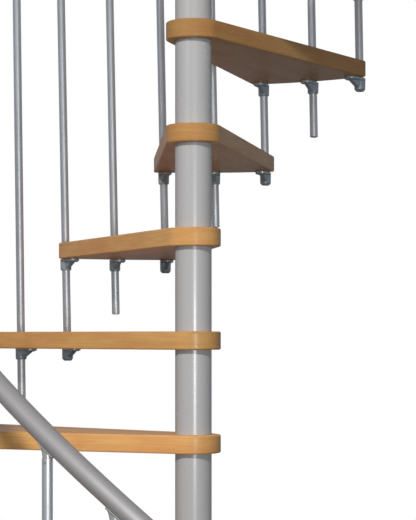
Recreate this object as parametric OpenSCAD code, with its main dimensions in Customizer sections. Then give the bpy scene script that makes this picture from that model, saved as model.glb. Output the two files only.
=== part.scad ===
// Spiral staircase: beech treads clamped between the sleeves of a steel column, each tread tied to the next
// by round balusters that run past its curved edge and carry a tubular handrail. All sizes in millimetres.
// Turns are measured in degrees, clockwise as seen from above, starting at the first baluster.

/* [Flight] */
// Height from one tread to the next
rise = 225; // [180:1:260]
// Turn from one tread to the next
tread_turn = 21.6; // [18:0.1:25]
// Number of treads below the landing
tread_count = 10; // [6:1:13]
// Turn of the landing, in tread turns
landing_spans = 3; // [2:1:4]
// Compass angle of the first baluster, clockwise from +Y
start_angle = -179; // [-180:1:180]

/* [Treads] */
// Thickness of treads and landing
tread_t = 40; // [30:1:55]
// Radius of the curved outer edge
tread_r = 677; // [560:1:820]
// Radius of the round nose about the column
nose_r = 60; // [52:1:80]
// Reach of each outer corner beyond its baluster
corner_reach = 29; // [25:1:40]

/* [Column] */
// Outer diameter of the sleeves
sleeve_d = 80; // [66:1:98]
// Wall of the sleeves
sleeve_wall = 5; // [3:0.5:8]
// Diameter of the inner pole
pole_d = 48; // [38:1:55]
// Clearance round the inner pole in each tread
pole_clear = 0.5; // [0.2:0.1:1]
// Diameter of the floor flange
flange_d = 300; // [250:1:360]
// Thickness of the floor flange
flange_t = 10; // [6:1:15]
// Number of anchor holes in the floor flange
anchor_count = 6; // [4:1:8]
// Diameter of each anchor hole
anchor_d = 12; // [8:1:16]
// Diameter of the circle of anchor holes
anchor_circle_d = 230; // [190:1:240]
// Height of the column above the landing
newel_h = 960; // [750:1:1150]
// Rim of the column cap outside the sleeve
cap_rim = 2; // [0:0.5:4]
// Thickness of the column cap's rim
cap_t = 6; // [4:1:10]
// Rise of the column cap's dome above its rim
cap_dome = 9; // [5:1:16]

/* [Balusters] */
// Diameter of the balusters
bar_d = 20; // [16:1:25]
// Gap between a baluster and the edge of its tread
bar_gap = 3; // [2:0.5:6]
// Length of a middle baluster below its tread
tail_h = 140; // [80:1:160]
// Clearance round a baluster in its brackets
bar_clear = 0.3; // [0.2:0.1:0.8]

/* [Brackets] */
// Wall of the cup round a baluster
cup_wall = 4; // [3:0.5:6]
// Depth to which a bracket holds its baluster below the tread
cup_h = 29; // [22:1:40]
// Thickness of the floor of a closed cup
cup_floor = 4; // [3:0.5:6]
// Bevel round the bottom of an open cup
cup_bevel = 3; // [1:0.5:3.5]
// Bevel round the bottom of a closed cup
closed_bevel = 5.5; // [1:0.5:6]
// Thickness of the plate against the tread
plate_t = 7; // [4:0.5:10]
// Distance from the baluster to the centre of the plate's round end
plate_reach = 40; // [34:1:55]
// Radius of the plate's round end
plate_r = 17; // [15:0.5:20]
// Thickness of the rib below the plate
rib_t = 12; // [8:0.5:16]
// Distance from the baluster to the rib's far end
rib_reach = 49; // [36:1:52]
// Diameter of the plate under the first baluster
foot_d = 64; // [54:1:90]

/* [Handrail] */
// Diameter of the handrail
rail_d = 40; // [34:1:48]
// Height of the rail's centre above a tread at its lead baluster
rail_h = 933; // [800:1:1100]
// Slip of the rail down the upper flight, which makes the balusters there lean back
rail_slip = 22; // [0:1:40]
// Number of treads, from the floor, along which the balusters still stand upright
slip_from = 5; // [0:1:8]
// Length of rail beyond the first and the last baluster
rail_end = 70; // [40:1:100]
// Half length of the bend where the rail turns level, between the landing's first two balusters
rail_bend = 40; // [25:1:45]
// Clearance between rail and saddle
rail_clear = 0.3; // [0.2:0.1:0.6]
// Thickness of the rail's end caps
rail_cap_t = 4; // [2:0.5:8]
// Length of a saddle along the rail
saddle_l = 38; // [32:1:50]
// Shift of a saddle's plate up the rail from its neck
saddle_shift = 4; // [0:0.5:6]
// Width of a saddle
saddle_w = 24; // [18:1:30]
// Thickness of a saddle
saddle_t = 2.5; // [2:0.5:4]
// Diameter of the neck under a saddle
neck_d = 18; // [12:0.5:19]
// Gap between the rim of a baluster's top and the saddle, at its lower side
neck_gap = 1.2; // [0.5:0.1:5]
// Diameter of the spigot inside the baluster
spigot_d = 12; // [8:0.5:13]
// Length of the spigot inside the baluster
spigot_h = 16; // [10:1:25]
// Clearance round and below the spigot
spigot_clear = 0.3; // [0.2:0.1:0.6]

/* [Landing cleat] */
// Length of the steel angle under the landing's far edge
cleat_l = 460; // [380:1:520]
// Distance from the column's axis to the near end of the angle
cleat_start = 110; // [100:1:140]
// Drop of the upright leg below the landing
cleat_drop = 100; // [80:1:130]
// Width of the level leg
cleat_leg = 60; // [40:1:80]
// Thickness of the angle
cleat_t = 8; // [5:0.5:10]
// Diameter of the holes in the upright leg
cleat_hole_d = 12; // [8:1:16]
// Number of holes in the upright leg
cleat_hole_count = 3; // [2:1:4]
// Distance between holes
cleat_hole_pitch = 160; // [100:1:170]
// Distance of the holes below the landing
cleat_hole_drop = 60; // [40:1:70]

/* [Hidden] */
$fn = 96;
// Allowance by which a cutting shape passes the face it cuts
cut = 1;
// Sides of the handrail's section
rail_sides = 20;
// Rings of the handrail to each tread turn, and to each half of its bend
rings_per_tread = 6;
rings_per_bend = 4;
// Set-back of a straight edge from the tangent of the round end that it meets
edge_set = 0.3;

flight_turn = tread_count * tread_turn;
landing_turn = landing_spans * tread_turn;
landing_z = (tread_count + 1) * rise;
// Landing balusters stand at the same half-turn spacing as those of the treads
landing_bar_count = 2 * landing_spans;
half_turn = tread_turn / 2;

bar_r = bar_d / 2;
bar_circle_r = tread_r + bar_gap + bar_r;
corner_turn = asin(corner_reach / tread_r);
// Distance of a step's straight edge from the column's axis, and the turn between its foot and its corner
edge_r = nose_r - edge_set;
edge_lean = acos(edge_r / tread_r);
cup_r = bar_r + bar_clear + cup_wall;

rail_r = rail_d / 2;
rail_end_turn = rail_end / bar_circle_r * 180 / PI;
full_slip_turn = rail_slip / bar_circle_r * 180 / PI;
bend_turn = rail_bend / bar_circle_r * 180 / PI;
bend_centre = flight_turn + half_turn / 2;
// Climb of the rail for each degree, and its height where it runs level
rail_climb = rise / tread_turn;
rail_level = landing_z + rail_h + (bend_centre - flight_turn) * rail_climb;
rail_last_turn = flight_turn + landing_turn;
// Distance from the rail's axis to the underside of a saddle
saddle_r = rail_r + rail_clear + saddle_t;

TREADS = [for (i = [1:tread_count]) str("tread_", i < 10 ? "0" : "", i)];
SLEEVES = [for (i = [1:tread_count + 1]) str("column_sleeve_", i < 10 ? "0" : "", i)];

// ---- Rules for heights and turns ----

// Top of tread number i, where 0 is the floor
function tread_z(i) = i * rise;

// Height of the rail's centre at a turn: it climbs with the treads, bends, and runs level along the landing
function rail_z(turn) =
    let (past = turn - bend_centre)
    past <= -bend_turn ? rail_level + past * rail_climb :
    past >= bend_turn ? rail_level :
    rail_level - rail_climb * pow(bend_turn - past, 2) / (4 * bend_turn);

// Pitch of the rail at a turn
function rail_pitch(turn) =
    let (past = turn - bend_centre,
         steepest = rail_climb / (bar_circle_r * PI / 180),
         share = past <= -bend_turn ? 1 : past >= bend_turn ? 0 : (bend_turn - past) / (2 * bend_turn))
    atan(steepest * share);

// Turn by which the rail has slipped at a baluster: it grows over two treads and then stays
function slip_turn(turn) = full_slip_turn * min(1, max(0, (turn / tread_turn - slip_from) / 2));

// Turn at which the baluster of a turn meets the rail: the landing's balusters stand upright
function rail_turn(turn) = turn > flight_turn ? turn : turn - slip_turn(turn);

// Height at which a baluster crosses its own radius: in its bracket on the landing or at a tread's middle,
// and halfway between the two brackets that hold it at the corners of two treads
function hold_z(turn) =
    (turn > flight_turn ? landing_z : (turn / tread_turn + 0.5) * rise) - tread_t - cup_h / 2;

// Course of a baluster's axis, from that height to the rail's centre
function bar_run(turn) =
    let (meet = rail_turn(turn), slip = turn - meet)
    [-bar_circle_r * sin(slip), bar_circle_r * (cos(slip) - 1), rail_z(meet) - hold_z(turn)];

// Angles by which a baluster's axis is turned from upright
function bar_tilt(turn) = let (v = bar_run(turn)) [asin(-v.y / norm(v)), atan(v.x / v.z), 0];

// Shift of a baluster's axis from its radius at a height
function bar_shift(turn, z) = let (v = bar_run(turn), s = (z - hold_z(turn)) / v.z) [v.x * s, v.y * s, 0];

// Height of the neck on the baluster's axis, which leaves the gap where the saddle is lowest
function neck_h(pitch) = bar_r * tan(pitch) + neck_gap;

// Pitch of the rail against a line square to the baluster
function saddle_pitch(turn) = rail_pitch(rail_turn(turn)) + bar_tilt(turn).y;

// Length of a baluster above the height at which it crosses its own radius
function bar_reach(turn) =
    let (pitch = saddle_pitch(turn)) norm(bar_run(turn)) - saddle_r / cos(pitch) - neck_h(pitch);

// Sets its children on the radius at a turn, with +Y pointing out from the column and +X clockwise
module at_turn(turn, r = 0, z = 0) {
    rotate([0, 0, -(start_angle + turn)]) translate([0, r, z]) children();
}

// ---- Column ----

module base_flange() {
    color("#b1b0b2") difference() {
        cylinder(d = flange_d, h = flange_t);
        for (i = [0:anchor_count - 1])
            rotate([0, 0, i * 360 / anchor_count])
                translate([anchor_circle_d / 2, 0, -cut]) cylinder(d = anchor_d, h = flange_t + 2 * cut);
    }
}

module centre_pole() {
    color("#8b8b8c") translate([0, 0, flange_t])
        cylinder(d = pole_d, h = landing_z + newel_h - flange_t);
}

module sleeve(z, h) {
    color("#b1b0b2") translate([0, 0, z]) difference() {
        cylinder(d = sleeve_d, h = h);
        translate([0, 0, -cut]) cylinder(d = sleeve_d - 2 * sleeve_wall, h = h + 2 * cut);
    }
}

// Sleeve number i stands on tread i - 1, the first one on the floor flange, and carries tread i
module column_sleeve(i) {
    foot = i == 1 ? flange_t : tread_z(i - 1);
    sleeve(foot, tread_z(i) - tread_t - foot);
}

module column_cap() {
    rim_d = sleeve_d + 2 * cap_rim;
    dome_r = (pow(rim_d / 2, 2) + pow(cap_dome, 2)) / (2 * cap_dome);
    color("#b1b0b2") translate([0, 0, landing_z + newel_h]) {
        cylinder(d = rim_d, h = cap_t);
        translate([0, 0, cap_t]) intersection() {
            translate([0, 0, cap_dome - dome_r]) sphere(r = dome_r);
            cylinder(d = rim_d, h = cap_dome + cut);
        }
    }
}

// ---- Treads and landing ----

// Straight edges run from the nose, close to its tangent, to the corners of the curved outer edge
module step_outline(turn) {
    corner = turn / 2 + corner_turn;
    far = 1.5;
    function on_circle(r, t) = [r * sin(t), r * cos(t)];
    function near_end(side) = on_circle(edge_r, side * (corner + edge_lean));
    function far_end(side) = near_end(side) * (1 - far) + on_circle(tread_r, side * corner) * far;
    circle(r = nose_r);
    intersection() {
        circle(r = tread_r, $fn = 360);
        polygon([near_end(-1), far_end(-1), on_circle(far * tread_r, 0), far_end(1), near_end(1)]);
    }
}

module step(first_turn, turn, z) {
    color("#b8905f") at_turn(first_turn + turn / 2, z = z - tread_t) difference() {
        linear_extrude(tread_t) step_outline(turn);
        translate([0, 0, -cut]) cylinder(d = pole_d + 2 * pole_clear, h = tread_t + 2 * cut);
    }
}

module tread(i) step((i - 1) * tread_turn, tread_turn, tread_z(i));

module landing() step(flight_turn, landing_turn, landing_z);

// Steel angle under the landing's far edge, bolted to the edge of the upper floor
module landing_cleat() {
    edge_turn = flight_turn + landing_turn + corner_turn + edge_lean - 90;
    first_hole = cleat_start + (cleat_l - (cleat_hole_count - 1) * cleat_hole_pitch) / 2;
    color("#8b8b8c") at_turn(edge_turn, z = landing_z - tread_t) difference() {
        translate([edge_r, cleat_start, 0]) {
            translate([-cleat_leg, 0, -cleat_t]) cube([cleat_leg, cleat_l, cleat_t]);
            translate([-cleat_t, 0, -cleat_drop]) cube([cleat_t, cleat_l, cleat_drop]);
        }
        for (i = [0:cleat_hole_count - 1])
            translate([edge_r - cleat_t - cut, first_hole + i * cleat_hole_pitch, -cleat_hole_drop])
                rotate([0, 90, 0]) cylinder(d = cleat_hole_d, h = cleat_t + 2 * cut, $fn = 48);
    }
}

// ---- Balusters ----

module baluster(turn, foot) {
    v = bar_run(turn);
    below = (hold_z(turn) - foot) * norm(v) / v.z;
    color("#a9a8aa") at_turn(turn, bar_circle_r, hold_z(turn)) rotate(bar_tilt(turn)) difference() {
        translate([0, 0, -below]) cylinder(d = bar_d, h = below + bar_reach(turn), $fn = 48);
        translate([0, 0, bar_reach(turn) - spigot_h - spigot_clear])
            cylinder(d = spigot_d + 2 * spigot_clear, h = spigot_h + spigot_clear + cut, $fn = 48);
    }
}

// Each long baluster stands in the cup below the tread before it, the first one in the floor socket
function cup_seat(i) = i == 0 ? cup_floor : tread_z(i) - tread_t - cup_h;

module long_balusters() {
    for (i = [0:tread_count]) baluster(i * tread_turn, cup_seat(i));
}

module middle_balusters() {
    for (i = [1:tread_count]) baluster((i - 0.5) * tread_turn, tread_z(i) - tread_t - tail_h);
}

module landing_balusters() {
    for (i = [1:landing_bar_count]) baluster(flight_turn + i * half_turn, landing_z - tread_t - cup_h);
}

// ---- Brackets ----

// Plate with a round end that points to the column, in line with the cup round the baluster
module plate_outline() {
    wide = plate_r - edge_set;
    narrow = cup_r - edge_set;
    lean = asin((wide - narrow) / plate_reach);
    circle(r = cup_r, $fn = 48);
    translate([0, -plate_reach]) circle(r = plate_r, $fn = 48);
    polygon([[narrow * cos(lean), narrow * sin(lean)],
             [wide * cos(lean), wide * sin(lean) - plate_reach],
             [-wide * cos(lean), wide * sin(lean) - plate_reach],
             [-narrow * cos(lean), narrow * sin(lean)]]);
}

// Bore along a baluster that is turned from upright, as deep as a cup and open above it
module bore(tilt, through) {
    half = cup_h / 2 / (cos(tilt.x) * cos(tilt.y)) + (through ? cut : 0);
    rotate(tilt) translate([0, 0, -half]) cylinder(r = bar_r + bar_clear, h = half + cup_h / 2 + cut, $fn = 48);
}

// Bracket under a tread: its top face is at height 0 and its cup stands on the Z axis
module bracket(closed, tilt) {
    depth = closed ? cup_h + cup_floor : cup_h;
    bevel = closed ? closed_bevel : cup_bevel;
    difference() {
        union() {
            translate([0, 0, -plate_t]) linear_extrude(plate_t) plate_outline();
            translate([0, 0, bevel - depth]) cylinder(r = cup_r, h = depth - bevel, $fn = 48);
            translate([0, 0, -depth]) cylinder(r1 = cup_r - bevel, r2 = cup_r, h = bevel, $fn = 48);
            rotate([90, 0, 90]) linear_extrude(rib_t, center = true)
                polygon([[-cup_r / 2, -plate_t / 2], [-rib_reach, -plate_t / 2], [-rib_reach, -plate_t],
                         [-cup_r / 2, bevel - cup_h]]);
        }
        translate([0, 0, -cup_h / 2]) bore(tilt, !closed);
    }
}

module brackets(turns, heights, closed) {
    color("#5d666b") for (i = [0:len(turns) - 1]) {
        z = heights[i] - tread_t;
        at_turn(turns[i], bar_circle_r, z) translate(bar_shift(turns[i], z - cup_h / 2))
            bracket(closed, bar_tilt(turns[i]));
    }
}

// Under the lead corner of each tread and of the landing
module lead_brackets() {
    brackets([for (i = [0:tread_count]) i * tread_turn], [for (i = [0:tread_count]) tread_z(i + 1)], false);
}

module middle_brackets() {
    brackets([for (i = [1:tread_count]) (i - 0.5) * tread_turn], [for (i = [1:tread_count]) tread_z(i)], false);
}

// Under the trailing corner of each tread, closed below the long baluster's end
module cup_brackets() {
    brackets([for (i = [1:tread_count]) i * tread_turn], [for (i = [1:tread_count]) tread_z(i)], true);
}

// Round the landing's edge, closed below its balusters
module landing_brackets() {
    brackets([for (i = [1:landing_bar_count]) flight_turn + i * half_turn],
             [for (i = [1:landing_bar_count]) landing_z], true);
}

// Foot of the first baluster on the floor
module floor_socket() {
    middle = cup_floor + cup_h / 2;
    color("#5d666b") at_turn(0, bar_circle_r) translate(bar_shift(0, middle)) difference() {
        union() {
            cylinder(d = foot_d, h = plate_t);
            cylinder(r = cup_r, h = cup_h + cup_floor, $fn = 48);
        }
        translate([0, 0, middle]) bore(bar_tilt(0), false);
    }
}

// ---- Handrail ----

// Sets its children on the rail at a turn, with +X along the rail
module on_rail(turn) {
    at_turn(turn, bar_circle_r, rail_z(turn)) rotate([0, -rail_pitch(turn), 0]) children();
}

// Saddle of the baluster at a turn: a neck on the baluster's axis, and a plate where the neck meets the rail
module saddle_at(turn) {
    meet = rail_turn(turn);
    pitch = saddle_pitch(turn);
    foot = saddle_r / cos(pitch) + neck_h(pitch);
    plate_run = (saddle_shift - saddle_r * tan(pitch)) * cos(rail_pitch(meet));
    plate_turn = meet + plate_run / bar_circle_r * 180 / PI;
    difference() {
        union() {
            on_rail(plate_turn) translate([-saddle_l / 2, 0, 0]) intersection() {
                rotate([0, 90, 0]) cylinder(r = saddle_r, h = saddle_l);
                translate([0, -saddle_w / 2, -saddle_r - cut]) cube([saddle_l, saddle_w, saddle_r / 2 + cut]);
            }
            at_turn(meet, bar_circle_r, rail_z(meet)) rotate([0, bar_tilt(turn).y, 0])
                translate([0, 0, -foot]) {
                    cylinder(d = neck_d, h = foot - saddle_r / 2, $fn = 48);
                    translate([0, 0, -spigot_h]) cylinder(d = spigot_d, h = spigot_h, $fn = 48);
                }
        }
        on_rail(plate_turn) rotate([0, 90, 0])
            cylinder(r = rail_r + rail_clear, h = 3 * saddle_l, center = true);
    }
}

module rail_saddles() {
    color("#c4c3c0") for (i = [0:2 * tread_count + landing_bar_count]) saddle_at(i * half_turn);
}

// Ring of points round the rail at a turn, square to its course
function rail_ring(turn) =
    let (a = start_angle + turn, p = rail_pitch(turn),
         out = [sin(a), cos(a), 0],
         up = [-cos(a) * sin(p), sin(a) * sin(p), cos(p)],
         centre = [bar_circle_r * sin(a), bar_circle_r * cos(a), rail_z(turn)])
    [for (k = [0:rail_sides - 1])
        centre + rail_r * (cos(k * 360 / rail_sides) * out + sin(k * 360 / rail_sides) * up)];

module handrail() {
    step_turn = tread_turn / rings_per_tread;
    level_turn = flight_turn + half_turn;
    turns = concat([-rail_end_turn],
        [for (i = [0:tread_count * rings_per_tread]) i * step_turn],
        [for (i = [-rings_per_bend:rings_per_bend]) bend_centre + i * bend_turn / rings_per_bend],
        [for (i = [0:(landing_spans - 0.5) * rings_per_tread]) level_turn + i * step_turn],
        [rail_last_turn + rail_end_turn]);
    n = rail_sides;
    last = len(turns) - 1;
    points = [for (t = turns) each rail_ring(t)];
    sides = [for (i = [0:last - 1]) for (k = [0:n - 1])
        each [[i * n + k, (i + 1) * n + k, i * n + (k + 1) % n],
              [i * n + (k + 1) % n, (i + 1) * n + k, (i + 1) * n + (k + 1) % n]]];
    ends = [[for (k = [0:n - 1]) k], [for (k = [0:n - 1]) last * n + n - 1 - k]];
    color("#b4afaa") polyhedron(points, concat(sides, ends));
}

module rail_end_caps() {
    color("#8f8d8b") for (way = [-1, 1]) {
        turn = way < 0 ? -rail_end_turn : rail_last_turn + rail_end_turn;
        at_turn(turn, bar_circle_r, rail_z(turn)) rotate([0, way * 90 - rail_pitch(turn), 0])
            cylinder(r = rail_r, h = rail_cap_t, $fn = 48);
    }
}

base_flange();
centre_pole();
sleeve(landing_z, newel_h);  // newel_sleeve
column_cap();
landing();
landing_cleat();
long_balusters();
middle_balusters();
landing_balusters();
lead_brackets();
middle_brackets();
cup_brackets();
landing_brackets();
floor_socket();
rail_saddles();
handrail();
rail_end_caps();
for (i = [1:tread_count]) tread(i);
for (i = [1:tread_count + 1]) column_sleeve(i);
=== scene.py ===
from math import acos, asin, atan, atan2, cos, degrees, hypot, pi, radians, sin, sqrt, tan

import bmesh
import bpy
from mathutils import Matrix, Vector


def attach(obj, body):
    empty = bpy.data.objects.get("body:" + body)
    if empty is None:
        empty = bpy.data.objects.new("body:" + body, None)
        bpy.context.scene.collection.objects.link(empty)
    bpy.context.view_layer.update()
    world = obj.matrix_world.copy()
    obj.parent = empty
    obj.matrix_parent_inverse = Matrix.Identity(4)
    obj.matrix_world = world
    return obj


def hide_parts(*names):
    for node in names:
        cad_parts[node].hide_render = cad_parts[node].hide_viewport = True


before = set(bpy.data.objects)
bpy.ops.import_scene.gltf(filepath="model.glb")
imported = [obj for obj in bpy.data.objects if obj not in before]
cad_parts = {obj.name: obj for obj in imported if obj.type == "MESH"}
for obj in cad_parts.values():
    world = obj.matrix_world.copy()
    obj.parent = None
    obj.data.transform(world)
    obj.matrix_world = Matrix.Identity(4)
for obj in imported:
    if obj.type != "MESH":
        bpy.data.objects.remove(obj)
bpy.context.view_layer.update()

# ---- Floor flange ----
# A 10 mm disc of laser-cut steel carries the whole column. Its rim is chamfered, it is lacquered grey like
# the sleeves, and six hexagon bolts with washers hold it to the floor.

flange_radius, flange_thickness, flange_chamfer = 0.150, 0.010, 0.0015
anchor_circle_radius, anchor_count = 0.115, 6


def add_node(tree, kind, inputs=None, **settings):
    """Adds a shader node. Each input is a number, a colour or the socket that feeds it."""
    made = tree.nodes.new("ShaderNode" + kind)
    for name, value in settings.items():
        setattr(made, name, value)
    for name, value in (inputs or {}).items():
        if isinstance(value, bpy.types.NodeSocket):
            tree.links.new(value, made.inputs[name])
        else:
            made.inputs[name].default_value = value
    return made


def maths(tree, operation, first, second, clamp=False):
    """Reckons with two values."""
    return add_node(tree, "Math", {0: first, 1: second}, operation=operation, use_clamp=clamp).outputs[0]


def spread(tree, value, low, high, to_low, to_high):
    """Maps one range of a value onto another, clamped at its ends."""
    return add_node(tree, "MapRange", {"Value": value, "From Min": low, "From Max": high,
                                       "To Min": to_low, "To Max": to_high}).outputs["Result"]


def blend(tree, factor, low, high, kind="RGBA"):
    """Mixes two colours, or two numbers when the kind is FLOAT."""
    return add_node(tree, "Mix", {"Factor": factor, "A": low, "B": high}, data_type=kind).outputs["Result"]


def new_group(name, inputs, outputs):
    """Starts a node group from lists of (name, type, default) inputs and (name, type) outputs."""
    group = bpy.data.node_groups.new(name, "ShaderNodeTree")
    for label, kind, default in inputs:
        socket = group.interface.new_socket(label, in_out="INPUT", socket_type="NodeSocket" + kind)
        socket.default_value = default
    for label, kind in outputs:
        group.interface.new_socket(label, in_out="OUTPUT", socket_type="NodeSocket" + kind)
    return group, group.nodes.new("NodeGroupInput"), group.nodes.new("NodeGroupOutput")


def lacquer_group():
    """Sprayed coat: soft clouds of tone, a fine speckle, and the orange peel of the sprayed film."""
    group, given, result = new_group("sprayed coat", [
        ("Color", "Color", (0.5, 0.5, 0.5, 1)), ("Dust Color", "Color", (0.4, 0.4, 0.4, 1)),
        ("Clouds", "Float", 0.3), ("Speckle", "Float", 0.1), ("Roughness", "Float", 0.3),
        ("Cloud Scale", "Float", 9.0), ("Peel Scale", "Float", 500.0)],
        [("Color", "Color"), ("Roughness", "Float"), ("Height", "Float")])
    place = add_node(group, "TexCoord").outputs["Object"]
    clouds = add_node(group, "TexNoise", {"Vector": place, "Scale": given.outputs["Cloud Scale"],
                                          "Detail": 5.0, "Roughness": 0.6}).outputs["Fac"]
    peel = add_node(group, "TexNoise", {"Vector": place, "Scale": given.outputs["Peel Scale"],
                                        "Detail": 2.0}).outputs["Fac"]
    amount = maths(group, "ADD", spread(group, clouds, 0.35, 0.75, 0.0, given.outputs["Clouds"]),
                   spread(group, peel, 0.55, 0.8, 0.0, given.outputs["Speckle"]), clamp=True)
    colour = blend(group, amount, given.outputs["Color"], given.outputs["Dust Color"])
    rough = maths(group, "ADD", spread(group, clouds, 0.3, 0.7, -0.03, 0.05), given.outputs["Roughness"])
    group.links.new(colour, result.inputs["Color"])
    group.links.new(rough, result.inputs["Roughness"])
    group.links.new(peel, result.inputs["Height"])
    return group


sprayed_coat = lacquer_group()


def coated(name, colour, dust, clouds, speckle, roughness, cloud_scale, peel_scale, peel, metal=0.0,
           sheen_level=0.5):
    """A material with the sprayed coat over painted steel, a casting, a tube or plastic."""
    material = bpy.data.materials.new(name)
    material.use_nodes = True
    tree = material.node_tree
    shader = tree.nodes["Principled BSDF"]
    coat = tree.nodes.new("ShaderNodeGroup")
    coat.node_tree = sprayed_coat
    for label, value in (("Color", (*colour, 1)), ("Dust Color", (*dust, 1)), ("Clouds", clouds),
                         ("Speckle", speckle), ("Roughness", roughness), ("Cloud Scale", cloud_scale),
                         ("Peel Scale", peel_scale)):
        coat.inputs[label].default_value = value
    tree.links.new(coat.outputs["Color"], shader.inputs["Base Color"])
    tree.links.new(coat.outputs["Roughness"], shader.inputs["Roughness"])
    bump = add_node(tree, "Bump", {"Height": coat.outputs["Height"], "Strength": peel, "Distance": 0.0002})
    tree.links.new(bump.outputs["Normal"], shader.inputs["Normal"])
    shader.inputs["Metallic"].default_value = metal
    shader.inputs["Specular IOR Level"].default_value = sheen_level
    return material


grey_powder = coated("grey powder coat", (0.447, 0.446, 0.455), dust=(0.36, 0.352, 0.347), clouds=0.22,
                     speckle=0.12, roughness=0.27, cloud_scale=7.0, peel_scale=900.0, peel=0.08,
                     sheen_level=0.65)
zinc_steel = coated("zinc-plated steel", (0.50, 0.51, 0.53), dust=(0.28, 0.27, 0.25), clouds=0.5,
                    speckle=0.25, roughness=0.30, cloud_scale=60.0, peel_scale=1500.0, peel=0.08, metal=1.0)
sharp_angle = radians(38)


def verts_in(geometry):
    return [v for v in geometry if isinstance(v, bmesh.types.BMVert)]


def edges_in(geometry):
    return [e for e in geometry if isinstance(e, bmesh.types.BMEdge)]


def round_edges(bm, width, segments, over=40, where=None):
    """Rounds every edge whose faces meet at more than an angle."""
    sharp = [e for e in bm.edges if len(e.link_faces) == 2 and e.calc_face_angle(0) > radians(over)
             and (where is None or where((e.verts[0].co + e.verts[1].co) / 2))]
    bmesh.ops.bevel(bm, geom=sharp, offset=width, affect="EDGES", segments=segments, profile=0.5,
                    material=-1, clamp_overlap=True)


def turned(profile, sides, rounding=0.0, segments=2):
    """Turns a line of (radius, height) points about Z, closed when it starts and ends off the axis."""
    bm = bmesh.new()
    points = [bm.verts.new((r, 0, z)) for r, z in profile]
    edges = [bm.edges.new(pair) for pair in zip(points, points[1:])]
    if profile[0][0] > 0 and profile[-1][0] > 0:
        edges.append(bm.edges.new((points[-1], points[0])))
    bmesh.ops.spin(bm, geom=points + edges, cent=(0, 0, 0), axis=(0, 0, 1), dvec=(0, 0, 0), angle=2 * pi,
                   steps=sides, use_merge=True)
    bmesh.ops.remove_doubles(bm, verts=bm.verts, dist=1e-6)
    bmesh.ops.recalc_face_normals(bm, faces=bm.faces)
    if rounding:
        round_edges(bm, rounding, segments)
    return bm


def add_copy(bm, part, place):
    """Adds a copy of a part to a mesh, moved to its place."""
    copy = bpy.data.meshes.new("copy")
    part.to_mesh(copy)
    copy.transform(place)
    bm.from_mesh(copy)
    bpy.data.meshes.remove(copy)


def finish_piece(bm, name, material, slot, *nodes):
    """Makes a piece of a mesh: shades it, gives it its material, and ties it to the frame."""
    mesh = bpy.data.meshes.new(name)
    bm.to_mesh(mesh)
    bm.free()
    mesh.shade_smooth()
    mesh.set_sharp_from_angle(angle=sharp_angle)
    mesh.materials.append(material)
    piece = bpy.data.objects.new(name, mesh)
    bpy.context.scene.collection.objects.link(piece)
    even = piece.modifiers.new("even shading", "WEIGHTED_NORMAL")
    even.keep_sharp = True
    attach(piece, "root")
    if nodes:
        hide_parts(*nodes)


flange = turned([(0, 0), (flange_radius, 0), (flange_radius, flange_thickness), (0, flange_thickness)], 96)
round_edges(flange, flange_chamfer, 2)
finish_piece(flange, "floor_flange", grey_powder, "column", "base_flange")


def hex_bolt(across_flats, head_height, washer_radius, washer_thickness):
    """Hexagon head on a washer, with its foot at height 0."""
    corner_radius, bore = across_flats / sqrt(3), across_flats * 0.32
    head = bmesh.new()
    bmesh.ops.create_cone(head, cap_ends=True, segments=6, radius1=corner_radius, radius2=corner_radius,
                          depth=head_height)
    bmesh.ops.translate(head, vec=(0, 0, washer_thickness + head_height / 2), verts=head.verts)
    round_edges(head, head_height * 0.12, 2)
    washer = turned([(bore, 0), (washer_radius, 0), (washer_radius, washer_thickness),
                     (bore, washer_thickness)], 32, washer_thickness * 0.25)
    add_copy(head, washer, Matrix.Identity(4))
    washer.free()
    return head


anchor_bolt = hex_bolt(across_flats=0.017, head_height=0.007, washer_radius=0.0105, washer_thickness=0.002)
bolt_twist = 0.7
anchors = bmesh.new()
for i in range(anchor_count):
    spot = Matrix.Rotation(2 * pi * i / anchor_count, 4, "Z") @ Matrix.Translation(
        (anchor_circle_radius, 0, flange_thickness))
    add_copy(anchors, anchor_bolt, spot @ Matrix.Rotation(i * bolt_twist, 4, "Z"))
finish_piece(anchors, "anchor_bolts", zinc_steel, "steel")

# ---- Centre pole ----
# A 48 mm steel tube runs from the flange to the cap inside the sleeves and clamps the stack of treads.
# Nothing of it shows once the stair stands; it keeps its mill finish.

bare_steel = coated("bare steel tube", (0.34, 0.33, 0.32), dust=(0.17, 0.15, 0.13), clouds=0.6, speckle=0.3,
                    roughness=0.38, cloud_scale=14.0, peel_scale=700.0, peel=0.15, metal=1.0)
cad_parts["centre_pole"].data.materials.clear()
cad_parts["centre_pole"].data.materials.append(bare_steel)

# ---- Column sleeves ----
# Between treads the column is a sleeve of 80 mm tube with a 5 mm wall, cut square, its ends just broken,
# and powder-coated light grey. The uppermost one stands on the landing as its newel.

rise, tread_thickness, tread_count = 0.225, 0.040, 10
landing_height = (tread_count + 1) * rise
newel_height = 0.960
sleeve_radius, sleeve_wall, sleeve_chamfer = 0.040, 0.005, 0.0007


def sleeve(foot, top):
    """A length of the column's tube between two heights."""
    return turned([(sleeve_radius - sleeve_wall, foot), (sleeve_radius, foot), (sleeve_radius, top),
                   (sleeve_radius - sleeve_wall, top)], 96, sleeve_chamfer, 2)


for i in range(1, tread_count + 2):
    foot = flange_thickness if i == 1 else (i - 1) * rise
    finish_piece(sleeve(foot, i * rise - tread_thickness), f"sleeve_{i:02d}", grey_powder, "column",
                 f"column_sleeve_{i:02d}")
finish_piece(sleeve(landing_height, landing_height + newel_height), "newel", grey_powder, "column",
             "newel_sleeve")

# ---- Column cap ----
# A domed steel cap closes the newel and pulls the stack tight on the pole. It is turned, 2 mm proud of the
# tube all round, and coated in the same grey.

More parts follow.
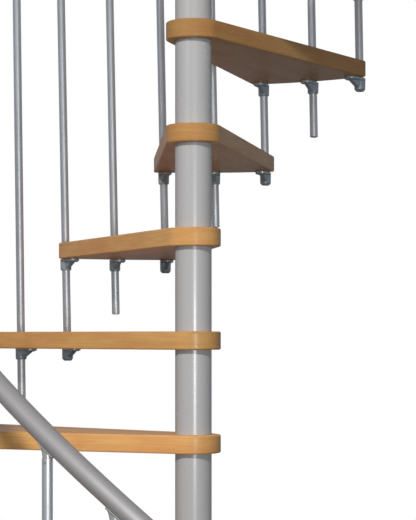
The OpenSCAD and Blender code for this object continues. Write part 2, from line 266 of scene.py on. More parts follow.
cap_radius, cap_rim, cap_dome, cap_chamfer = 0.042, 0.006, 0.009, 0.0008
cap_foot = landing_height + newel_height
dome_radius = (cap_radius ** 2 + cap_dome ** 2) / (2 * cap_dome)
dome_line = [(dome_radius * sin(a), cap_foot + cap_rim + cap_dome - dome_radius * (1 - cos(a)))
             for a in [asin(cap_radius / dome_radius) * k / 8 for k in range(9)]]
cap = turned(dome_line + [(cap_radius, cap_foot), (0, cap_foot)], 96)
round_edges(cap, cap_chamfer, 2)
finish_piece(cap, "newel_cap", grey_powder, "column", "column_cap")

# ---- Treads and landing ----
# Wedge-shaped steps of beech, 40 mm thick, glued up from staves that run out from the column and lipped
# with beech round the edge. Every edge is routed round to 4 mm, and the wood is varnished.

start = radians(-179)
tread_turn = radians(21.6)
tread_radius, nose_radius, pole_hole_radius = 0.677, 0.060, 0.0245
corner_reach = 0.029
corner_turn = asin(corner_reach / tread_radius)
edge_rounding, bore_surround = 0.004, 0.03
least_outer_steps, nose_steps = 12, 36


def at_turn(turn, radius=0.0, height=0.0):
    """Place on the radius at a turn, with +Y pointing out from the column and +X clockwise from above."""
    return Matrix.Rotation(-(start + turn), 4, "Z") @ Matrix.Translation((0, radius, height))


def beech_material():
    """Varnished beech that reads two attributes of the pieces: grain and tone_with_painted_light, a tone that
    also holds painted light and painted shade.

    Grain holds metres along the grain, metres across it, and 1 on lipping, 0 on a top or -1 underneath.
    """
    material = bpy.data.materials.new("varnished beech")
    material.use_nodes = True
    tree = material.node_tree
    shader = tree.nodes["Principled BSDF"]
    grain = add_node(tree, "Attribute", attribute_name="grain").outputs["Vector"]
    side = add_node(tree, "SeparateXYZ", {"Vector": grain}).outputs["Z"]
    lipping = maths(tree, "MAXIMUM", side, 0.0)
    below = maths(tree, "MULTIPLY", side, -1.0, clamp=True)

    def stretched(stretch):
        return add_node(tree, "VectorMath", {0: grain, 1: stretch}, operation="MULTIPLY").outputs["Vector"]

    def noise(stretch, detail, roughness, distortion=0.0):
        return add_node(tree, "TexNoise", {"Vector": stretched(stretch), "Scale": 1.0, "Detail": detail,
                                           "Roughness": roughness, "Distortion": distortion}).outputs["Fac"]

    clouds = noise((5.0, 22.0, 3.0), 4.0, 0.6)
    figure = noise((9.0, 260.0, 3.0), 6.0, 0.62, 0.3)
    pores = noise((90.0, 1900.0, 9.0), 3.0, 0.6)
    staves = add_node(tree, "TexBrick", {"Vector": grain, "Color1": (0, 0, 0, 1), "Color2": (1, 1, 1, 1),
                                         "Mortar": (0.5, 0.5, 0.5, 1), "Scale": 1.0, "Mortar Size": 0.0,
                                         "Brick Width": 0.42, "Row Height": 0.043}, offset=0.37)
    stave_tone = add_node(tree, "SeparateColor", {"Color": staves.outputs["Color"]}).outputs["Red"]
    stave_tone = blend(tree, lipping, stave_tone, 0.45, "FLOAT")
    flecks = add_node(tree, "TexVoronoi", {"Vector": stretched((210.0, 1150.0, 5.0)), "Scale": 1.0,
                                           "Randomness": 0.9}, feature="F1")
    fleck_chance = add_node(tree, "SeparateColor", {"Color": flecks.outputs["Color"]}).outputs["Green"]
    fleck = maths(tree, "MULTIPLY", spread(tree, flecks.outputs["Distance"], 0.18, 0.36, 1.0, 0.0),
                  spread(tree, fleck_chance, 0.45, 0.6, 0.0, 1.0))

    honey, rose = (0.65, 0.365, 0.130, 1), (0.55, 0.250, 0.088, 1)
    pale, brown = (0.72, 0.44, 0.175, 1), (0.32, 0.130, 0.040, 1)
    colour = blend(tree, spread(tree, clouds, 0.36, 0.66, 0.0, 1.0), honey, rose)
    colour = blend(tree, spread(tree, stave_tone, 0.0, 1.0, 0.0, 0.42), colour, pale)
    colour = blend(tree, spread(tree, figure, 0.42, 0.72, 0.0, 0.30), colour, brown)
    colour = blend(tree, spread(tree, pores, 0.55, 0.8, 0.0, 0.16), colour, brown)
    colour = blend(tree, maths(tree, "MULTIPLY", fleck, 0.42), colour, brown)
    # The tone scales the wood's value. It holds the boards' own tones, painted light on the tops, and painted
    # shade on the noses and upper steps.
    tone = add_node(tree, "Attribute", attribute_name="tone_with_painted_light").outputs["Fac"]
    colour = add_node(tree, "HueSaturation", {"Color": colour, "Value": tone}).outputs["Color"]
    rough = maths(tree, "ADD", spread(tree, figure, 0.3, 0.7, 0.30, 0.40),
                  spread(tree, clouds, 0.3, 0.7, -0.03, 0.03))
    rough = blend(tree, below, rough, 0.50, "FLOAT")
    relief = add_node(tree, "Bump", {"Height": pores, "Strength": 0.12, "Distance": 0.0002})
    tree.links.new(colour, shader.inputs["Base Color"])
    tree.links.new(rough, shader.inputs["Roughness"])
    tree.links.new(relief.outputs["Normal"], shader.inputs["Normal"])
    tree.links.new(spread(tree, below, 0.0, 1.0, 0.13, 0.22), shader.inputs["Coat Weight"])
    shader.inputs["Coat Roughness"].default_value = 0.23
    shader.inputs["Specular IOR Level"].default_value = 0.1
    return material


beech = beech_material()


# Each step has its own tone, from the floor to the landing. It is partly beech varying from board to board
# and partly
# painted shade: the tones darken the upper steps and brighten the lower ones as falling-off light would. The
# top is painted paler as painted light, and the lipping that is bent round the nose is painted darker as
# painted shade.
# Each board is cut from another part of the grain, and the lipping of the outer arc from yet another.
board_tones_with_painted_shade = (0.97, 1.04, 0.92, 1.02, 1.0, 1.24, 1.02, 1.22, 0.96, 0.79, 0.95)
painted_top_light, painted_nose_shade = 1.35, 0.82
board_along, board_across, outer_across = 1.7, 0.61, 0.3


def wooden_step(turn, height, number):
    """A step whose middle points along +Y: two arcs, two straight sides and a bored nose, with its grain."""
    corner = turn / 2 + corner_turn
    lean = corner + acos(nose_radius / tread_radius)
    outer_x, outer_y = tread_radius * sin(corner), tread_radius * cos(corner)
    nose_x, nose_y = nose_radius * sin(lean), nose_radius * cos(lean)
    bm = bmesh.new()
    outer, nose = bm.verts.new((-outer_x, outer_y, 0)), bm.verts.new((nose_x, nose_y, 0))
    arcs = []
    for first, swing, steps in ((outer, -2 * corner, max(least_outer_steps, round(degrees(corner)))),
                                (nose, -2 * (pi - lean), nose_steps)):
        made = bmesh.ops.spin(bm, geom=[first], cent=(0, 0, 0), axis=(0, 0, 1), dvec=(0, 0, 0), angle=swing,
                              steps=steps)
        arcs.append((first, verts_in(made["geom_last"])[0]))
    bm.edges.new((arcs[0][1], arcs[1][0]))
    bm.edges.new((arcs[1][1], arcs[0][0]))
    bmesh.ops.create_circle(bm, cap_ends=False, segments=64, radius=pole_hole_radius)
    bmesh.ops.triangle_fill(bm, use_beauty=True, use_dissolve=False, edges=bm.edges, normal=(0, 0, 1))
    grown = bmesh.ops.extrude_face_region(bm, geom=bm.faces)["geom"]
    bmesh.ops.translate(bm, vec=(0, 0, tread_thickness), verts=verts_in(grown))
    bmesh.ops.recalc_face_normals(bm, faces=bm.faces)
    round_edges(bm, edge_rounding, 4, over=50, where=lambda p: hypot(p.x, p.y) > bore_surround)
    write_grain(bm, number, nose_x, nose_y, nose_radius * (pi - lean),
                Vector((outer_x - nose_x, outer_y - nose_y)).normalized())
    bmesh.ops.transform(bm, matrix=at_turn(0, 0, height - tread_thickness), verts=bm.verts)
    return bm


def write_grain(bm, number, nose_x, nose_y, nose_length, side_way):
    """Writes a step's grain and tone: staves on the flat faces, lipping that runs on round the edge, painted
    light on the top and painted shade on the nose.
    """
    grain, tone = bm.loops.layers.float_vector.new("grain"), bm.loops.layers.float.new("tone_with_painted_light")
    for face in bm.faces:
        flat = abs(face.normal.z) > 0.75
        side = -round(abs(min(0, face.normal.z))) if flat else 1.0
        middle = face.calc_center_median()
        out = middle.x * face.normal.x + middle.y * face.normal.y > 0.9 * tread_radius
        for loop in face.loops:
            x, y, z = loop.vert.co
            hand = 1 if x >= 0 else -1
            beyond = (abs(x) - nose_x) * side_way.x + (y - nose_y) * side_way.y
            # The board's tone holds its own tone together with painted light and shade that change with its
            # height.
            share = board_tones_with_painted_shade[number - 1]
            if flat:
                along, across = y, x
                # Painted light: the top faces are made paler, as if lit from above.
                share *= painted_top_light if face.normal.z > 0 else 1.0
            elif out:
                along, across = tread_radius * atan2(x, y), z + outer_across
            elif beyond > 0:
                along, across = hand * (nose_length + beyond), z
            else:
                along, across = hand * nose_radius * (pi - abs(atan2(x, y))), z
                # Painted shade: the middle of the nose is made darker, fading out along the arc towards the
                # sides.
                share *= 1 - (1 - painted_nose_shade) * min(1, 2 - 2 * abs(along) / nose_length)
            loop[grain] = Vector((along + board_along * number, across + board_across * number, side))
            loop[tone] = share


def turn_step(bm, middle_turn):
    """Turns a step about the column until its middle points along a turn."""
    bmesh.ops.rotate(bm, cent=(0, 0, 0), matrix=Matrix.Rotation(-middle_turn, 3, "Z"), verts=bm.verts)
    return bm


for i in range(1, tread_count + 1):
    board = turn_step(wooden_step(tread_turn, i * rise, i), (i - 0.5) * tread_turn)
    finish_piece(board, f"beech_tread_{i:02d}", beech, "beech", f"tread_{i:02d}")
landing_turn = 3 * tread_turn
board = turn_step(wooden_step(landing_turn, landing_height, tread_count + 1),
                  tread_count * tread_turn + landing_turn / 2)
finish_piece(board, "beech_landing", beech, "beech", "landing")

# ---- Brackets ----
# Zinc castings painted slate grey. A flat tongue is screwed up under the tread and runs with a hollow curve
# into a cup that holds the baluster; a socket screw in the cup clamps it. Trailing corners have closed cups.

bar_radius, bar_gap, landing_bars = 0.010, 0.003, 6
bar_circle = tread_radius + bar_gap + bar_radius
cup_radius, cup_depth, cup_floor = 0.0143, 0.029, 0.004
cup_taper, closed_bevel, open_bevel = 0.0007, 0.0055, 0.0026
bore_gap, bore_chamfer, axis_gap = 0.0003, 0.0008, 0.0005
tongue_reach, tongue_radius = 0.040, 0.017
tongue_edge = ((0, 0.0012), (0.0004, 0.0004), (0.0012, 0), (0.0052, 0), (0.0063, 0.0004), (0.0070, 0.0014))
rib_reach, rib_top, rib_slope, rib_half_width = 0.049, 0.0074, 2.14, 0.0068
rib_drops = (0.0, 0.003, 0.006, 0.009, 0.012, 0.015, 0.0175)
half_turn = tread_turn / 2
flight_turn = tread_count * tread_turn
past_flight = flight_turn + 0.01
rail_height, rail_slip, slip_from = 0.933, 0.022, 5
climb = rise / tread_turn
bend_half = 0.040 / bar_circle
bend_middle = flight_turn + half_turn / 2
level_rail = landing_height + rail_height + (bend_middle - flight_turn) * climb

slate_casting = coated("slate grey casting", (0.38, 0.445, 0.48), dust=(0.44, 0.48, 0.50), clouds=0.35,
                       speckle=0.35, roughness=0.38, cloud_scale=55.0, peel_scale=420.0, peel=0.35, metal=0.4)


def rail_line(turn):
    """Height of the rail's axis and its pitch at a turn: it climbs with the treads, bends, and runs level."""
    past = turn - bend_middle
    steepest = climb / bar_circle
    if past <= -bend_half:
        return level_rail + past * climb, atan(steepest)
    if past >= bend_half:
        return level_rail, 0.0
    return (level_rail - climb * (bend_half - past) ** 2 / (4 * bend_half),
            atan(steepest * (bend_half - past) / (2 * bend_half)))


def rail_turn(turn):
    """Turn at which a baluster meets the rail, which has slipped back down the upper flight.

    The lower flight and the landing have no slip, and it grows over two treads.
    """
    if turn > past_flight:
        return turn
    return turn - rail_slip / bar_circle * min(1, max(0, (turn / tread_turn - slip_from) / 2))


def hold_height(turn):
    """Height at which a leaning baluster crosses its own radius, amid the brackets that hold it."""
    level = landing_height if turn > past_flight else (turn / tread_turn + 0.5) * rise
    return level - tread_thickness - cup_depth / 2


def bar_course(turn):
    """Way from that height to the rail's axis, seen from the baluster's own radius."""
    slip = turn - rail_turn(turn)
    return Vector((-bar_circle * sin(slip), bar_circle * (cos(slip) - 1),
                   rail_line(rail_turn(turn))[0] - hold_height(turn)))


def bar_shift(turn, height):
    """Shift of a leaning baluster at a height, sideways from its own radius."""
    course = bar_course(turn) * (height - hold_height(turn)) / bar_course(turn).z
    return Matrix.Translation((course.x, course.y, 0))


outline_steps = 24


def tongue_outline(angle, cup, root, reach, end):
    """Distance from the cup's axis to the edge of a cup with a round-ended tongue, in a direction."""
    way, furthest = Vector((sin(angle), -cos(angle))), cup
    for k in range(outline_steps + 1):
        share = k / outline_steps
        centre, radius = Vector((0, -reach * share)), root + (end - root) * share
        along = way.dot(centre)
        inside = radius ** 2 - centre.length_squared + along ** 2
        if inside >= 0:
            furthest = max(furthest, along + sqrt(inside))
    return furthest


# Share by which a ring's points crowd towards the tongue, where the outline turns most.
tongue_crowding = 0.72


def lofted(rings):
    """Joins rings, each a height and a rule for the radius in a direction, and the last to the first."""
    bm = bmesh.new()
    bmesh.ops.create_circle(bm, cap_ends=False, segments=56, radius=1.0)
    for v in bm.verts:
        angle = atan2(v.co.x, -v.co.y)
        crowded = angle - tongue_crowding * sin(angle)
        v.co.xy = sin(crowded), -cos(crowded)
    verts, edges = list(bm.verts), list(bm.edges)
    for number, (height, rule) in enumerate(rings):
        if number:
            grown = bmesh.ops.extrude_edge_only(bm, edges=edges)["geom"]
            verts, edges = verts_in(grown), edges_in(grown)
        for v in verts:
            bearing = atan2(v.co.x, -v.co.y)
            v.co = (rule(bearing) * sin(bearing), -rule(bearing) * cos(bearing), height)
    bmesh.ops.bridge_loops(bm, edges=[e for e in bm.edges if e.is_boundary])
    bmesh.ops.recalc_face_normals(bm, faces=bm.faces)
    return bm


def socket_screw(radius, height, across_flats):
    """Round screw head with its foot at height 0 and a hexagon socket in its top."""
    bm = turned([(0, 0), (radius, 0), (radius, height), (0, height)], 24, height * 0.2, 2)
    top = [f for f in bm.faces if f.normal.z > 0.99]
    bmesh.ops.delete(bm, geom=top, context="FACES")
    rim = [e for e in bm.edges if e.is_boundary]
    old = set(bm.edges)
    bmesh.ops.create_circle(bm, cap_ends=False, segments=6, radius=across_flats / sqrt(3),
                            matrix=Matrix.Translation((0, 0, height)))
    socket = [e for e in bm.edges if e not in old]
    bmesh.ops.triangle_fill(bm, use_beauty=True, edges=rim + socket, normal=(0, 0, 1))
    deep = bmesh.ops.extrude_edge_only(bm, edges=socket)["geom"]
    bmesh.ops.translate(bm, vec=(0, 0, -height * 0.6), verts=verts_in(deep))
    bmesh.ops.contextual_create(bm, geom=edges_in(deep))
    bmesh.ops.recalc_face_normals(bm, faces=bm.faces)
    return bm


def casting(closed, lean):
    """One bracket with its top against the tread at height 0 and its tongue to -Y; its bore leans."""
    def plate(inset):
        cup = cup_radius - inset
        return lambda bearing: tongue_outline(bearing, cup, cup, tongue_reach, tongue_radius - inset)

    def rib(length, radius, draft):
        cup = cup_radius - draft
        return lambda bearing: tongue_outline(bearing, cup, min(cup, radius + 0.002),
                                              max(0.0, length - radius), radius)

    def plain(radius):
        return lambda bearing: radius

    rings = [(-drop, plate(inset)) for drop, inset in tongue_edge]
    for drop in rib_drops:
        length, draft = rib_reach + 0.002 - rib_slope * drop, 0.0002 + 0.02 * drop
        rings.append((-rib_top - drop, rib(length, rib_half_width - 0.05 * drop, draft)))
    depth = cup_depth + cup_floor if closed else cup_depth
    bevel = closed_bevel if closed else open_bevel
    rings += [(bevel - depth, plain(cup_radius - cup_taper)),
              (0.3 * bevel - depth, plain(cup_radius - cup_taper - 0.5 * bevel)),
              (-depth, plain(cup_radius - 0.0005 - bevel))]
    if closed:
        rings += [(-depth, plain(axis_gap)), (-cup_depth, plain(axis_gap)),
                  (-cup_depth, plain(bar_radius + bore_gap))]
    else:
        rings += [(-depth, plain(bar_radius + bore_chamfer)), (0.0006 - depth, plain(bar_radius + bore_gap))]
    rings += [(-0.0005, plain(bar_radius + bore_gap)), (0, plain(bar_radius + bore_chamfer))]
    bm = lofted(rings)
    for v in bm.verts:
        if v.co.xy.length < bar_radius + 0.001:
            v.co.x -= (v.co.z + cup_depth / 2) * lean
    return bm


clamp_screw = socket_screw(radius=0.0029, height=0.0012, across_flats=0.0030)
clamp_drop, clamp_sunk, tongue_screw_x, tongue_screw_y = 0.019, 0.0003, 0.0108, -0.0400
tongue_screw = turned([(0, 0), (0.0036, 0), (0.0036, 0.0004), (0.0027, 0.0014), (0.0011, 0.0018),
                       (0.0009, 0.0009), (0, 0.0009)], 20)


def bracket_screws():
    """The two screws in a bracket's tongue and the socket screw in its cup."""
    part = bmesh.new()
    for side in (-1, 1):
        place = Matrix.Translation((side * tongue_screw_x, tongue_screw_y, -tongue_edge[-1][0]))
        add_copy(part, tongue_screw, place @ Matrix.Rotation(pi, 4, "X"))
    place = Matrix.Rotation(pi, 4, "Z") @ Matrix.Translation((0, -cup_radius + clamp_sunk, -clamp_drop))
    add_copy(part, clamp_screw, place @ Matrix.Rotation(radians(90), 4, "X"))
    return part


def bracket_row(name, node, closed, turns, levels):
    """A row of like castings, each at a turn under a step whose top is at a level."""
    castings, screws, one_screws = bmesh.new(), bmesh.new(), bracket_screws()
    for turn, level in zip(turns, levels):
        underside = level - tread_thickness
        spot = at_turn(turn, bar_circle, underside) @ bar_shift(turn, underside - cup_depth / 2)
        one = casting(closed, -bar_course(turn).x / bar_course(turn).z)
        add_copy(castings, one, spot)
        add_copy(screws, one_screws, spot)
        one.free()
    one_screws.free()
    finish_piece(castings, name, slate_casting, "bracket", node)
    finish_piece(screws, name + "_screws", zinc_steel, "steel")


lead_turns = [i * tread_turn for i in range(tread_count + 1)]
middle_turns = [(i + 0.5) * tread_turn for i in range(tread_count)]
trail_turns = [i * tread_turn for i in range(1, tread_count + 1)]
landing_turns = [flight_turn + i * half_turn for i in range(1, landing_bars + 1)]
step_levels = [(i + 1) * rise for i in range(tread_count + 1)]
bracket_row("lead_castings", "lead_brackets", False, lead_turns, step_levels)
bracket_row("middle_castings", "middle_brackets", False, middle_turns, step_levels)
bracket_row("cup_castings", "cup_brackets", True, trail_turns, step_levels)
bracket_row("landing_castings", "landing_brackets", True, landing_turns, [landing_height] * landing_bars)

# ---- Floor socket ----
# The first baluster stands in a cast foot: a round plate screwed to the floor with a cup on it, painted
# the same slate grey as the brackets.

foot_radius, foot_plate, foot_height = 0.032, 0.007, 0.033
foot_bore, foot_screw_circle = bar_radius + bore_gap, 0.0235
foot = turned([(0, 0), (foot_radius, 0), (foot_radius, 0.0055), (foot_radius - 0.0015, foot_plate),
               (cup_radius + 0.003, foot_plate), (cup_radius + 0.001, 0.0078), (cup_radius, 0.010),
               (cup_radius, 0.0315), (cup_radius - 0.0015, foot_height), (foot_bore, foot_height),
               (foot_bore, cup_floor), (0, cup_floor)], 64)
foot_spot = at_turn(0, bar_circle) @ bar_shift(0, cup_floor + cup_depth / 2)
socket = bmesh.new()
add_copy(socket, foot, foot_spot)
finish_piece(socket, "cast_foot", slate_casting, "bracket", "floor_socket")
foot_screws = bmesh.new()
for i in range(3):
    spot = foot_spot @ Matrix.Rotation(2 * pi * (i + 0.25) / 3, 4, "Z")
    add_copy(foot_screws, tongue_screw, spot @ Matrix.Translation((foot_screw_circle, 0, foot_plate)))
finish_piece(foot_screws, "foot_screws", zinc_steel, "steel")

# ---- Balusters ----
# Round steel tube, 20 mm across, lacquered silver grey. Long ones stand in the closed cups and pass the next
# tread's bracket; middle ones hang 140 mm below their tread and end in a plastic plug.

silver_lacquer = coated("silver grey lacquer", (0.67, 0.685, 0.71), dust=(0.50, 0.49, 0.48), clouds=0.25,
                        speckle=0.15, roughness=0.46, cloud_scale=11.0, peel_scale=1200.0, peel=0.06,
                        metal=0.8)
dark_plastic = coated("grey plastic", (0.10, 0.10, 0.105), dust=(0.16, 0.16, 0.16), clouds=0.3, speckle=0.2,
                      roughness=0.42, cloud_scale=40.0, peel_scale=600.0, peel=0.15)
rail_radius, rail_clearance, saddle_thickness = 0.020, 0.0003, 0.0025
saddle_reach = rail_radius + rail_clearance + saddle_thickness
neck_gap = 0.0012
tail = 0.140
tube_bore, foot_depth, top_bore, top_depth = 0.0084, 0.012, 0.0063, 0.0163
plug_head = 0.0015


def bar_lean(turn):
    """Turns a piece that stands upright on a baluster's spot to the baluster's own course."""
    course = bar_course(turn)
    sideways = Matrix.Rotation(atan2(course.x, course.z), 4, "Y")
    return sideways @ Matrix.Rotation(asin(-course.y / course.length), 4, "X")


def saddle_pitch(turn):
    """Pitch of the rail as a leaning baluster meets it."""
    course = bar_course(turn)
    return rail_line(rail_turn(turn))[1] + atan2(course.x, course.z)


def bar_reach(turn):
    """Length of a baluster above its hold height."""
    pitch = saddle_pitch(turn)
    return bar_course(turn).length - saddle_reach / cos(pitch) - bar_radius * tan(pitch) - neck_gap


def tube(foot, top):
    """A baluster's tube from foot to top, hollow at both ends."""
    return turned([(0, foot + foot_depth), (tube_bore, foot + foot_depth), (tube_bore, foot),
                   (bar_radius, foot), (bar_radius, top), (top_bore, top), (top_bore, top - top_depth),
                   (0, top - top_depth)], 32, 0.0005, 2)


def baluster_row(name, node, turns, feet, plugged):
    """A row of tubes, each at a turn with its foot at a height, with plugs in the feet that hang free."""
    tubes, plugs = bmesh.new(), bmesh.new()
    plug = turned([(0, 0), (0.0060, 0.0001), (tube_bore, 0.0009), (0.0088, 0.0016), (0.0083, 0.0100),
                   (0, 0.0100)], 32)
    for turn, low in zip(turns, feet):
        spot = at_turn(turn, bar_circle, hold_height(turn)) @ bar_lean(turn)
        foot = (low - hold_height(turn)) * bar_course(turn).length / bar_course(turn).z
        one = tube(foot + plug_head if plugged else foot, bar_reach(turn))
        add_copy(tubes, one, spot)
        one.free()
        add_copy(plugs, plug, spot @ Matrix.Translation((0, 0, foot)))
    plug.free()
    finish_piece(tubes, name, silver_lacquer, "baluster", node)
    if plugged:
        finish_piece(plugs, name + "_plugs", dark_plastic, "rail_cap")
    else:
        plugs.free()


cup_feet = [i * rise - tread_thickness - cup_depth for i in range(1, tread_count + 1)]
tail_feet = [(i + 1) * rise - tread_thickness - tail for i in range(tread_count)]
landing_feet = [landing_height - tread_thickness - cup_depth] * landing_bars
baluster_row("long_tubes", "long_balusters", lead_turns, [cup_floor] + cup_feet, False)
baluster_row("middle_tubes", "middle_balusters", middle_turns, tail_feet, True)
baluster_row("landing_tubes", "landing_balusters", landing_turns, landing_feet, False)

# ---- Rail saddles ----
# Each baluster's top is closed by a cast saddle: a spigot in the tube, a neck cut to the rail's pitch that
# flares uphill, and a thin plate that follows the underside of the rail. A socket screw locks it in the tube.

pale_casting = coated("satin alloy casting", (0.46, 0.465, 0.47), dust=(0.33, 0.33, 0.33), clouds=0.3,
                      speckle=0.2, roughness=0.30, cloud_scale=45.0, peel_scale=700.0, peel=0.15, metal=0.5)
saddle_length, saddle_width, saddle_shift = 0.038, 0.024, 0.004
neck_radius, spigot_radius, spigot_length = 0.009, 0.0060, 0.0155
neck_flare, flare_pitch, flare_power, neck_sunk = 0.0055, 0.65, 2.2, 0.0012
grub_sunk, grub_drop = 0.0004, 0.0075


def on_rail(turn):
    """Place on the rail's axis at a turn, with +X along the rail."""
    height, pitch = rail_line(turn)
    return at_turn(turn, bar_circle, height) @ Matrix.Rotation(-pitch, 4, "Y")


def saddle_plate():
    """Curved plate under a rail that lies along X."""
    bm = bmesh.new()
    inner, half = rail_radius + rail_clearance, saddle_length / 2
    sweep = asin(saddle_width / 2 / saddle_reach)
    corners = [bm.verts.new(Matrix.Rotation(sweep, 3, "X") @ Vector((x, 0, -r)))
               for x, r in ((-half, inner), (half, inner), (half, saddle_reach), (-half, saddle_reach))]
    strip = bm.faces.new(corners)
    bmesh.ops.spin(bm, geom=[strip], cent=(0, 0, 0), axis=(1, 0, 0), dvec=(0, 0, 0), angle=-2 * sweep,
                   steps=14)
    bmesh.ops.remove_doubles(bm, verts=bm.verts, dist=1e-6)
    bmesh.ops.recalc_face_normals(bm, faces=bm.faces)
    round_edges(bm, 0.0006, 2, over=50)
    return bm


def saddle_neck(pitch):
    """Spigot and neck on a baluster's axis, for a rail whose axis crosses the origin, climbing towards +X."""
    foot = -saddle_reach / cos(pitch) - bar_radius * tan(pitch) - neck_gap
    flare = neck_flare * sin(pitch) / flare_pitch
    neck = turned([(0, -spigot_length), (spigot_radius, -spigot_length), (spigot_radius, 0)]
                  + [(neck_radius, share) for share in (0, 0.25, 0.5, 0.7, 0.85, 1)] + [(0, 1)], 32)
    for v in neck.verts:
        if v.co.z < 0:
            v.co.z += foot
        else:
            share = v.co.z
            v.co.x += max(0.0, v.co.x / neck_radius) * share ** flare_power * flare
            seat = v.co.x * tan(pitch) - (saddle_reach - neck_sunk) / cos(pitch)
            v.co.z = foot + (seat - foot) * share
    return neck


saddles, grub_screws = bmesh.new(), bmesh.new()
plate, grub = saddle_plate(), socket_screw(radius=0.0024, height=0.0010, across_flats=0.0024)
for i in range(2 * tread_count + 1 + landing_bars):
    turn = i * half_turn
    meet, pitch = rail_turn(turn), saddle_pitch(turn)
    height, climbs = rail_line(meet)
    neck = saddle_neck(pitch)
    add_copy(saddles, neck, at_turn(meet, bar_circle, height) @ Matrix.Rotation(pitch - climbs, 4, "Y"))
    neck.free()
    run = (saddle_shift - saddle_reach * tan(pitch)) * cos(climbs)
    add_copy(saddles, plate, on_rail(meet + run / bar_circle))
    spot = at_turn(turn, bar_circle, hold_height(turn)) @ bar_lean(turn)
    place = Matrix.Translation((0, bar_radius - grub_sunk, bar_reach(turn) - grub_drop))
    add_copy(grub_screws, grub, spot @ place @ Matrix.Rotation(radians(-90), 4, "X"))
finish_piece(saddles, "cast_saddles", pale_casting, "saddle", "rail_saddles")
finish_piece(grub_screws, "saddle_screws", zinc_steel, "steel")

# ---- Handrail ----
# A 40 mm tube rolled to the helix of the stair, satin warm grey, that eases into a level run round the
# landing. It lies in the saddles, which are screwed up into it.

warm_grey = coated("satin warm grey rail", (0.63, 0.59, 0.585), dust=(0.48, 0.455, 0.45), clouds=0.25,
                   speckle=0.14, roughness=0.57, cloud_scale=12.0, peel_scale=900.0, peel=0.05, metal=0.8)
rail_end_turn = 0.070 / bar_circle
last_turn = flight_turn + landing_turn
rail_margin = 0.00005
steps_per_tread, bend_steps = 8, 6

rail = bmesh.new()
bmesh.ops.create_circle(rail, cap_ends=False, segments=40, radius=rail_radius - rail_margin,
                        matrix=Matrix.Rotation(radians(90), 4, "Y"))
step_turn = tread_turn / steps_per_tread
level_steps = round(2.5 * steps_per_tread)
stations = [-rail_end_turn] + [i * step_turn for i in range(tread_count * steps_per_tread + 1)]
stations += [bend_middle + i * bend_half / bend_steps for i in range(-bend_steps, bend_steps + 1)]
stations += [flight_turn + half_turn + i * step_turn for i in range(level_steps + 1)]
stations.append(last_turn + rail_end_turn)
bmesh.ops.transform(rail, matrix=on_rail(stations[0]), verts=rail.verts)
edges = list(rail.edges)
for before, after in zip(stations, stations[1:]):
    grown = bmesh.ops.extrude_edge_only(rail, edges=edges)["geom"]
    edges = edges_in(grown)
    bmesh.ops.transform(rail, matrix=on_rail(after) @ on_rail(before).inverted(), verts=verts_in(grown))
bmesh.ops.holes_fill(rail, edges=[e for e in rail.edges if e.is_boundary], sides=0)
bmesh.ops.recalc_face_normals(rail, faces=rail.faces)
finish_piece(rail, "rolled_handrail", warm_grey, "rail", "handrail")

# ---- Rail end caps ----
# A push-in cap of dark grey plastic closes each end of the rail. It is as wide as the tube and 4 mm thick,
# and its edge is rounded.

end_caps = bmesh.new()
end_cap = turned([(0, 0), (rail_radius, 0), (rail_radius, 0.0022), (rail_radius - 0.0006, 0.0033),
                  (rail_radius - 0.0020, 0.0038), (0, 0.0040)], 48)
for turn, way in ((-rail_end_turn, -1), (last_turn + rail_end_turn, 1)):
    add_copy(end_caps, end_cap, on_rail(turn) @ Matrix.Rotation(way * pi / 2, 4, "Y"))
finish_piece(end_caps, "rail_caps", dark_plastic, "rail_cap", "rail_end_caps")

# ---- Landing cleat ----
# A steel angle, 100 by 60 by 8 mm, screwed up under the landing's far edge and bolted to the edge of the
# upper floor. Its corners are broken and it is lacquered grey.

cleat_length, cleat_start, cleat_drop, cleat_leg, cleat_plate = 0.460, 0.110, 0.100, 0.060, 0.008
edge_offset, cleat_chamfer = 0.0597, 0.0012
bolt_spacing, bolt_drop = 0.160, 0.060
screw_inset, screw_offset = 0.050, 0.038
cleat_turn = last_turn + corner_turn + acos(edge_offset / tread_radius) - radians(90)
angle_bar = bmesh.new()
section = [angle_bar.verts.new((x, cleat_start, z)) for x, z in (
    (edge_offset, 0), (edge_offset, -cleat_drop), (edge_offset - cleat_plate, -cleat_drop),
    (edge_offset - cleat_plate, -cleat_plate), (edge_offset - cleat_leg, -cleat_plate),
    (edge_offset - cleat_leg, 0))]
grown = bmesh.ops.extrude_face_region(angle_bar, geom=[angle_bar.faces.new(section)])["geom"]
bmesh.ops.translate(angle_bar, vec=(0, cleat_length, 0), verts=verts_in(grown))
bmesh.ops.recalc_face_normals(angle_bar, faces=angle_bar.faces)
round_edges(angle_bar, cleat_chamfer, 2)
cleat = bmesh.new()
spot = at_turn(cleat_turn, 0, landing_height - tread_thickness)
add_copy(cleat, angle_bar, spot)
finish_piece(cleat, "angle_cleat", grey_powder, "steel", "landing_cleat")
floor_bolt = hex_bolt(across_flats=0.017, head_height=0.007, washer_radius=0.0115, washer_thickness=0.002)
fixings = bmesh.new()
for i in range(3):
    along = cleat_start + cleat_length / 2 + (i - 1) * bolt_spacing
    place = Matrix.Translation((edge_offset - cleat_plate, along, -bolt_drop))
    add_copy(fixings, floor_bolt, spot @ place @ Matrix.Rotation(radians(-90), 4, "Y"))
for i in range(4):
    along = cleat_start + screw_inset + i * (cleat_length - 2 * screw_inset) / 3
    place = Matrix.Translation((edge_offset - screw_offset, along, -cleat_plate))
    add_copy(fixings, tongue_screw, spot @ place @ Matrix.Rotation(pi, 4, "X"))
finish_piece(fixings, "cleat_fixings", zinc_steel, "steel")

# ---- Studio ----
# A plain pale floor that fades into white. A small lamp high on the left lights the stair, a soft one level
# with the eye on the right and a narrow strip on the left give the gloss, and the camera looks along +Y.

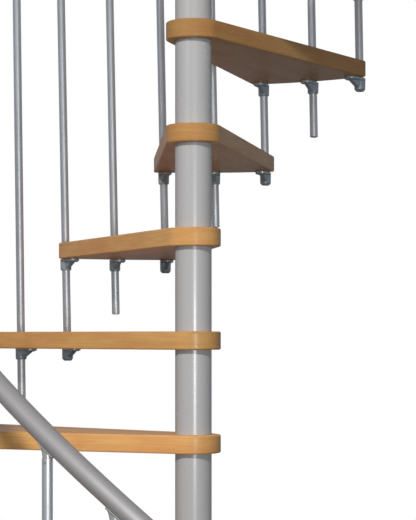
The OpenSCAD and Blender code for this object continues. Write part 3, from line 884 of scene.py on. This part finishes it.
floor_radius, floor_drop, fade_start, fade_end = 7.0, 0.0005, 2.5, 6.5
scene = bpy.context.scene
floor_mesh = bmesh.new()
bmesh.ops.create_circle(floor_mesh, cap_ends=True, segments=96, radius=floor_radius)
bmesh.ops.translate(floor_mesh, vec=(0, 0, -floor_drop), verts=floor_mesh.verts)
ground = bpy.data.meshes.new("studio_floor")
floor_mesh.to_mesh(ground)
floor_mesh.free()
floor = bpy.data.objects.new("studio_floor", ground)
scene.collection.objects.link(floor)
pale_floor = bpy.data.materials.new("pale floor")
pale_floor.use_nodes = True
tree = pale_floor.node_tree
shader = tree.nodes["Principled BSDF"]
spot_on_floor = add_node(tree, "TexCoord").outputs["Object"]
distance = add_node(tree, "VectorMath", {0: spot_on_floor}, operation="LENGTH").outputs["Value"]
fade = add_node(tree, "MapRange", {"Value": distance, "From Min": fade_start, "From Max": fade_end,
                                   "To Min": 1.0, "To Max": 0.0}, interpolation_type="SMOOTHSTEP")
seen = add_node(tree, "LightPath").outputs["Is Camera Ray"]
tree.links.new(blend(tree, seen, (0.16, 0.16, 0.16, 1), (0.86, 0.86, 0.86, 1)), shader.inputs["Base Color"])
tree.links.new(blend(tree, seen, (0, 0, 0, 1), (0.30, 0.30, 0.30, 1)), shader.inputs["Emission Color"])
tree.links.new(fade.outputs["Result"], shader.inputs["Alpha"])
shader.inputs["Roughness"].default_value = 0.8
shader.inputs["Specular IOR Level"].default_value = 0.2
shader.inputs["Emission Strength"].default_value = 1.0
ground.materials.append(pale_floor)

world = bpy.data.worlds.new("white studio")
scene.world = world
world.use_nodes = True
tree = world.node_tree
rays = add_node(tree, "LightPath").outputs
room, mirrored_room, white = (0.132, 0.138, 0.150, 1), (0.285, 0.303, 0.325, 1), (1, 1, 1, 1)
unseen = blend(tree, rays["Is Glossy Ray"], room, mirrored_room)
shown = blend(tree, rays["Is Camera Ray"], unseen, white)
tree.links.new(shown, tree.nodes["Background"].inputs["Color"])


eye_height = 1.6


def lamp(name, place, width, height, power, colour, mirrored=True):
    """A lamp turned to the column at eye height; mirrored tells whether the finishes reflect it."""
    data = bpy.data.lights.new(name, "AREA")
    data.shape, data.size, data.size_y = "RECTANGLE", width, height
    data.energy, data.color = power, colour
    made = bpy.data.objects.new(name, data)
    made.location = place
    made.visible_glossy = mirrored
    made.rotation_euler = (Vector((0, 0, eye_height)) - Vector(place)).to_track_quat("-Z", "Y").to_euler()
    scene.collection.objects.link(made)


lamp("high_left_lamp", (-1.10, -3.80, 3.53), width=0.20, height=0.20, power=124, colour=(1.0, 0.96, 0.90),
     mirrored=False)
lamp("eye_level_lamp", (0.62, -3.76, 1.50), width=0.34, height=0.56, power=44, colour=(0.95, 0.98, 1.0))
lamp("narrow_strip", (-2.46, -3.02, 3.2), width=0.05, height=1.3, power=9, colour=(0.82, 0.92, 1.0))

camera_data = bpy.data.cameras.new("camera")
camera_data.lens, camera_data.sensor_width = 119.0, 36.0
camera_data.shift_x, camera_data.shift_y = 0.0281, 0.1452
camera_data.clip_end = 60
camera = bpy.data.objects.new("camera", camera_data)
camera.location = (0, -3.758, 1.566)
camera.rotation_euler = (radians(90), 0, 0)
scene.collection.objects.link(camera)
scene.camera = camera
scene.view_settings.view_transform = "Standard"
